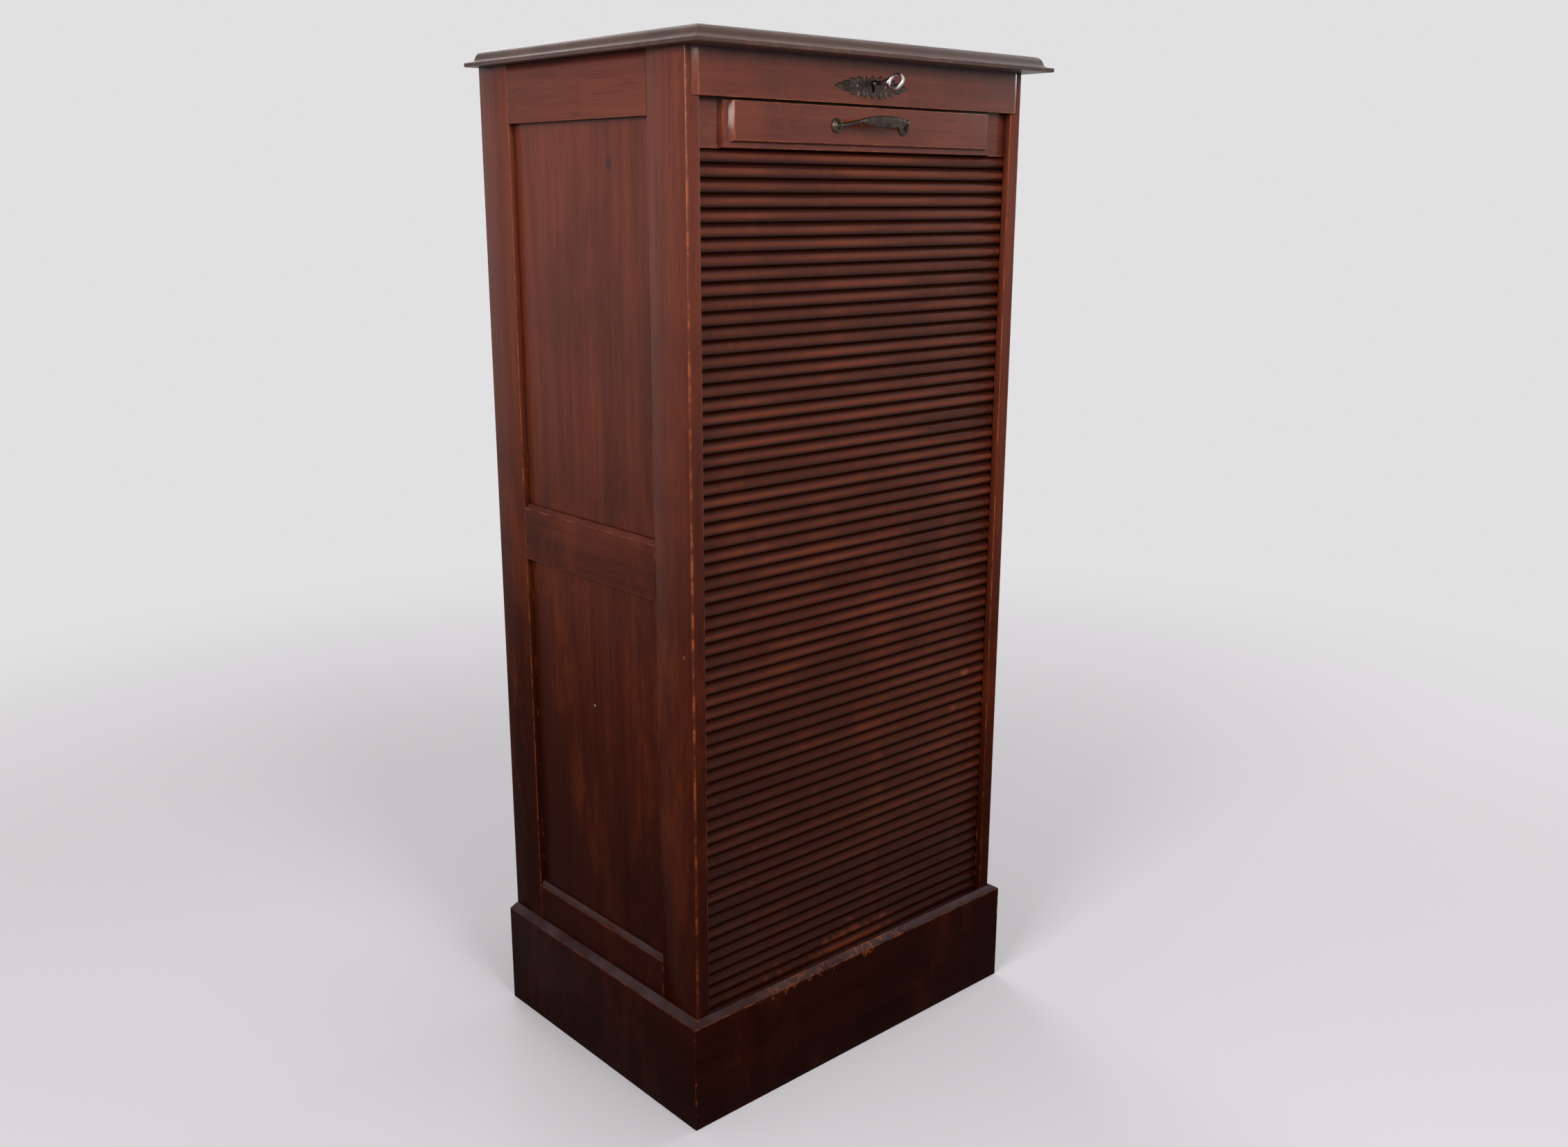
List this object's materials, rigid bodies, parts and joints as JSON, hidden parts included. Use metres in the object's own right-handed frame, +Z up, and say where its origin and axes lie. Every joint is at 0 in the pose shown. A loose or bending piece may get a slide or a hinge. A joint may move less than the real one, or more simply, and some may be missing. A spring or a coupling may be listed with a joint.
{
  "type": "tambour door cabinet",
  "caption": "Tall narrow wooden cabinet with frame-and-panel sides, a moulded top, a plinth, and a slatted tambour front that rolls down behind fixed shelves, with a bow handle, lock and key.",
  "frame": {"origin": "on the floor, under the middle of the whole: half-way between the two ends of the top and half-way from the front of the key bow to the back edge of the top", "axes": "+X to the right as seen from the front, -Y towards the front, +Z up"},
  "size_m": [0.558, 0.4536, 1.25],
  "materials": {
    "top_wood": "worn brown stain, greyed and dusty on top",
    "case_wood": "red-brown mahogany stain, worn to orange along the edges",
    "slat_wood": "red-brown mahogany stain with a low sheen",
    "inside_wood": "bare unstained wood",
    "canvas": "plain woven canvas",
    "bronze": "dark aged bronze",
    "steel": "bright worn steel",
    "lock_steel": "dull unpolished steel"
  },
  "bodies": {
    "carcass": {"top_board_front": "top_wood", "top_board_rear": "top_wood", "left_front_stile": "case_wood", "left_rear_stile": "case_wood", "left_top_rail": "case_wood", "left_middle_rail": "case_wood", "left_bottom_rail": "case_wood", "left_upper_panel": "case_wood", "left_lower_panel": "case_wood", "right_front_stile": "case_wood", "right_rear_stile": "case_wood", "right_top_rail": "case_wood", "right_middle_rail": "case_wood", "right_bottom_rail": "case_wood", "right_upper_panel": "case_wood", "right_lower_panel": "case_wood", "front_top_rail": "case_wood", "plinth_front": "case_wood", "plinth_left": "case_wood", "plinth_right": "case_wood", "back_top_rail": "case_wood", "back_middle_rail": "case_wood", "back_bottom_rail": "case_wood", "back_upper_panel": "case_wood", "back_lower_panel": "case_wood", "front_stretcher": "inside_wood", "rear_stretcher": "inside_wood", "cabinet_floor": "inside_wood", "inner_back": "inside_wood", "shelf_1": "inside_wood", "shelf_2": "inside_wood", "shelf_3": "inside_wood", "shelf_bearer_left_1": "inside_wood", "shelf_bearer_right_1": "inside_wood", "shelf_bearer_left_2": "inside_wood", "shelf_bearer_right_2": "inside_wood", "shelf_bearer_left_3": "inside_wood", "shelf_bearer_right_3": "inside_wood", "escutcheon": "bronze", "lock_case": "lock_steel", "lock_cap": "lock_steel"},
    "tambour": {"lead_board": "case_wood", "lead_panel": "case_wood", "handle": "bronze", "handle_bolt_left": "lock_steel", "handle_bolt_right": "lock_steel", "lock_hook": "lock_steel", "tambour_canvas": "canvas", "slat_strip_1": "slat_wood", "slat_strip_2": "slat_wood", "slat_strip_3": "slat_wood", "slat_strip_4": "slat_wood", "slat_strip_5": "slat_wood", "slat_strip_6": "slat_wood"},
    "key": {"key": "steel"},
    "lock_bolt": {"lock_bolt": "lock_steel"}
  },
  "joints": [
    {"name": "tambour_slide", "type": "slide", "parent": "carcass", "child": "tambour", "axis": [0, 0, -1], "range_m": [0, 0.988], "deforming": ["slat_strip_1", "slat_strip_2", "slat_strip_3", "slat_strip_4", "slat_strip_5", "slat_strip_6", "tambour_canvas"]},
    {"name": "key_turn", "type": "hinge", "parent": "carcass", "child": "key", "pos_m": [0, -0.17725, 1.207], "axis": [0, 1, 0], "range_deg": [-23, 67]},
    {"name": "lock_bolt_slide", "type": "slide", "parent": "carcass", "child": "lock_bolt", "axis": [-1, 0, 0], "range_m": [-0.0025, 0.0069]}
  ],
  "couplings": [
    {"joint": "lock_bolt_slide", "follows": "key_turn", "m_per_rad": 0.0057296}
  ]
}
